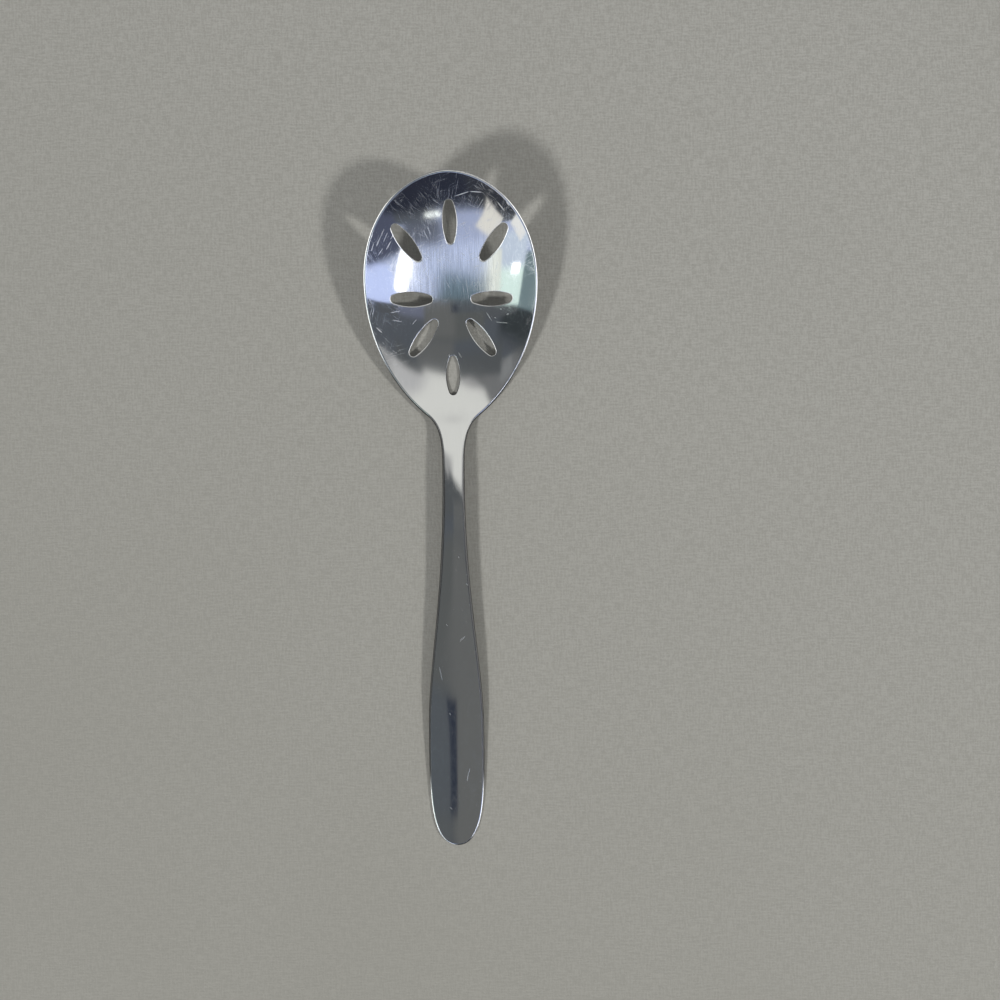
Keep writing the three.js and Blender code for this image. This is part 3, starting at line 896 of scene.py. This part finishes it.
# The studio around the spoon. A direction is given as two angles from straight up, in
# degrees: towards +X and towards +Y. Each panel has the angles of its middle, its half
# sizes, its turn, the softness of its edges and its light.
PANELS = [
    ("wall_ahead", (0, 50), (100, 50), 0, 1, (1.0, 1.0, 0.94)),
    ("wall_top", (0, 72), (100, 28), 0, 4, (0.3, 0.3, 0.31)),
    ("wall_shade_near", (-11, 7), (7, 4.5), 0, 8.5, (0.5, 0.5, 0.49)),
    ("wall_shade_left", (-22, 7), (12, 8), 0, 8, (0.5, 0.5, 0.49)),
    ("wall_shade_right", (32, 6), (18, 8), -14, 14, (0.7, 0.7, 0.69)),
    ("pillar_left", (-26, 5), (16, 9.6), -39, 4, (0.2, 0.205, 0.205)),
    ("pillar_side", (-42, 12), (21, 17), 0, 4, (0.25, 0.255, 0.255)),
    ("wall_edge_left", (-38, 4), (6, 3), 23, 3, (0.32, 0.33, 0.33)),
    ("overhead", (0, -50), (110, 50), 0, 1, (0.13, 0.145, 0.165)),
    ("soffit", (-19.5, 0.6), (15, 4.9), 0, 4, (0.13, 0.14, 0.145)),
    ("soffit_end", (4, 0.5), (15, 3.4), -14, 4, (0.13, 0.14, 0.145)),
    ("soffit_right", (25, 0), (10, 2.5), -14, 5, (0.13, 0.14, 0.145)),
    ("overhead_first", (8, -4), (11, 3.5), 0, 4, (0.18, 0.186, 0.184)),
    ("overhead_left", (-55, -7), (24, 8.5), -20, 8, (0.055, 0.065, 0.07)),
    ("band", (0, -36.3), (62, 18.2), 0, 1.5, (0.68, 0.78, 1.06)),
    ("overhead_sides", (0, -17.5), (46, 4.5), 0, 2, (0.13, 0.14, 0.15)),
    ("band_shade", (17, -18.5), (13, 4), 0, 5, (0.22, 0.24, 0.32)),
    ("band_low", (-11, -54), (15, 7), 0, 5, (0.55, 0.63, 0.88)),
    ("teal_end", (-58, -22), (12.5, 11), -20, 2, (0.26, 0.35, 0.37)),
    ("mint", (-38, -26), (10, 8.3), -12, 2, (1.1, 1.36, 1.25)),
    ("mist_left", (-36, -41), (15, 8), -10, 4, (0.85, 0.97, 1.13)),
    ("beige_strip", (-25, -33), (5, 9), 0, 1.5, (1.18, 1.22, 1.1)),
    ("lamp_left", (-41.8, -31.6), (3.6, 1.7), -12, 1.5, (4.0, 4.0, 4.0)),
    ("teal_middle", (-8, -27), (12, 7.5), -12, 6, (0.16, 0.24, 0.29)),
    ("overhead_middle", (-4, -15.5), (16, 8.5), 0, 3, (0.15, 0.158, 0.155)),
    ("overhead_near", (4, -16), (8, 8), 0, 4, (0.19, 0.195, 0.19)),
    ("lavender", (45, -25.4), (15, 7.6), 7, 1, (0.88, 1.02, 1.5)),
    ("dark_corner", (41, -48), (18, 13), 22, 4, (0.12, 0.135, 0.2)),
    ("lamp_right", (23.5, -33), (9.5, 3.6), 62, 1.5, (4.2, 4.2, 4.3)),
    ("shade_below", (10, -51), (10, 6), 5, 6, (0.17, 0.19, 0.24)),
    ("floor_ahead", (20, -76), (46, 16), 3, 5, (0.035, 0.04, 0.06)),
    ("floor_left", (-36, -73), (22, 14.5), -10, 3, (0.05, 0.055, 0.07)),
    ("window", (-22.6, -55.2), (6.2, 5.6), 51, 1, (1.15, 1.12, 1.02)),
    ("window_far", (-43, -50), (7, 3.6), -52, 1.5, (1.25, 1.25, 1.2)),
    ("far_lamp", (4.2, -59.1), (3.7, 0.9), 5, 1, (2.0, 2.1, 2.0)),
    ("overhead_blue", (-12, -20.5), (8, 3), 0, 2, (0.133, 0.148, 0.162)),
    ("door_gap", (-3.8, -20), (1.5, 2.1), 0, 0.6, (0.045, 0.055, 0.08)),
]
OVERHEAD = (0.13, 0.145, 0.165)
FAR_WALLS = (1.8, 1.8, 1.75)
FAR_PANELS = [
    ("far_right", (91, 0), (27, 50), 0, 4, (4.0, 4.0, 3.9)),
    ("far_left", (-91, -30), (27, 75), 0, 4, (4.0, 4.0, 3.9)),
    ("far_tip", (-28, 90), (42, 36), 0, 10, (0.25, 0.26, 0.27)),
    ("far_end", (16, -98), (22, 14), 0, 6, (0.2, 0.2, 0.2)),
]

# Two angles from straight up, between which the far walls fade in.
FAR_FROM_UP = (76, 84)

# The studio's light on the cloth, and the plain backdrop that a view from the side has.
SOFT_LIGHT = (0.27, 0.272, 0.275)
BACKDROP = (0.8, 0.8, 0.78)

# Keeps a division clear of zero straight up and straight down.
LEAST_SINE = 0.001


class StudioNodes(Nodes):
    """Nodes of the studio, with the direction as its two angles from straight up."""

    def __init__(self, world):
        world.use_nodes = True
        super().__init__(world.node_tree)
        direction = self.add("ShaderNodeTexCoord").outputs["Generated"]
        split = self.add("ShaderNodeSeparateXYZ", {"Vector": direction})
        degrees = 180 / math.pi
        polar = self.math("ARCCOSINE", split.outputs["Z"])
        sine = self.math("MAXIMUM", self.math("SINE", polar), LEAST_SINE)
        spread = self.product(self.math("DIVIDE", polar, sine), degrees)
        self.toward_x = self.product(split.outputs["X"], spread)
        self.toward_y = self.product(split.outputs["Y"], spread)
        self.from_up = self.product(polar, degrees)

    def within(self, value, half, soft):
        """1 up to a half size on both sides of zero and 0 past it, with a soft edge."""
        distance = self.math("ABSOLUTE", value)
        return self.ramp(distance, half - soft / 2, half + soft / 2, 1.0, 0.0)

    def panel(self, light, middle_at, half_size, turn, soft, radiance):
        """A panel over the light that is there already."""
        cosine, sine = math.cos(math.radians(turn)), math.sin(math.radians(turn))
        x = self.math("SUBTRACT", self.toward_x, middle_at[0])
        y = self.math("SUBTRACT", self.toward_y, middle_at[1])
        along = self.total(self.product(x, cosine), self.product(y, sine))
        across = self.math("SUBTRACT", self.product(y, cosine), self.product(x, sine))
        mask = self.product(
            self.within(along, half_size[0], soft), self.within(across, half_size[1], soft)
        )
        return self.mix(mask, light, colour(*radiance))


def make_world():
    world = bpy.data.worlds.new("studio")
    bpy.context.scene.world = world
    n = StudioNodes(world)
    light = colour(*OVERHEAD)
    for _, *panel in PANELS:
        light = n.panel(light, *panel)
    light = n.mix(n.ramp(n.from_up, *FAR_FROM_UP), light, colour(*FAR_WALLS))
    for _, *panel in FAR_PANELS:
        light = n.panel(light, *panel)

    # The steel mirrors the panels. All else is lit evenly.
    ray = n.add("ShaderNodeLightPath").outputs
    light = n.mix(ray["Is Glossy Ray"], colour(*SOFT_LIGHT), light)
    light = n.mix(ray["Is Camera Ray"], light, colour(*BACKDROP))
    background = n.add("ShaderNodeBackground", {"Color": light, "Strength": 1.0})
    n.add("ShaderNodeOutputWorld", {"Surface": background.outputs[0]})
    world.cycles.sampling_method = "NONE"


make_world()


# Two lamps behind the camera cast the two shadows. Each is given by the way that its
# shadows run, per unit of height, then by its size in metres, its power and its tint.
LAMP_DISTANCE = 3.0
LAMPS = [
    ("lamp_a", (-0.982, 0.408), 0.3, 42, (1.0, 0.985, 0.95)),
    ("lamp_b", (0.723, 0.749), 0.375, 49, (1.0, 0.99, 0.97)),
]


def make_lamp(name, run, size, power, tint):
    toward = Vector((-run[0], -run[1], 1)).normalized()
    data = bpy.data.lights.new(name, "AREA")
    data.shape = "DISK"
    data.size = size
    data.energy = power
    data.color = tint
    lamp = bpy.data.objects.new(name, data)
    lamp.location = toward * LAMP_DISTANCE
    lamp.rotation_euler = toward.to_track_quat("Z", "Y").to_euler()
    lamp.visible_glossy = False
    bpy.context.scene.collection.objects.link(lamp)


for lamp in LAMPS:
    make_lamp(*lamp)


# The camera looks straight down from its place, turned a little. The width of its picture
# is the one at the cloth.
CAMERA_PLACE = (15.15, 6.19, 348)
CAMERA_TURN = -0.58
PICTURE_WIDTH, SENSOR_WIDTH = 333, 36
NEAREST_SEEN = 10


def make_camera():
    data = bpy.data.cameras.new("camera")
    data.sensor_width = SENSOR_WIDTH
    data.lens = SENSOR_WIDTH * CAMERA_PLACE[2] / PICTURE_WIDTH
    data.clip_start = NEAREST_SEEN * MM
    camera = bpy.data.objects.new("camera", data)
    camera.location = Vector(CAMERA_PLACE) * MM
    camera.rotation_euler = (0, 0, math.radians(CAMERA_TURN))
    bpy.context.scene.collection.objects.link(camera)
    bpy.context.scene.camera = camera


make_camera()
bpy.context.scene.view_settings.view_transform = "Standard"
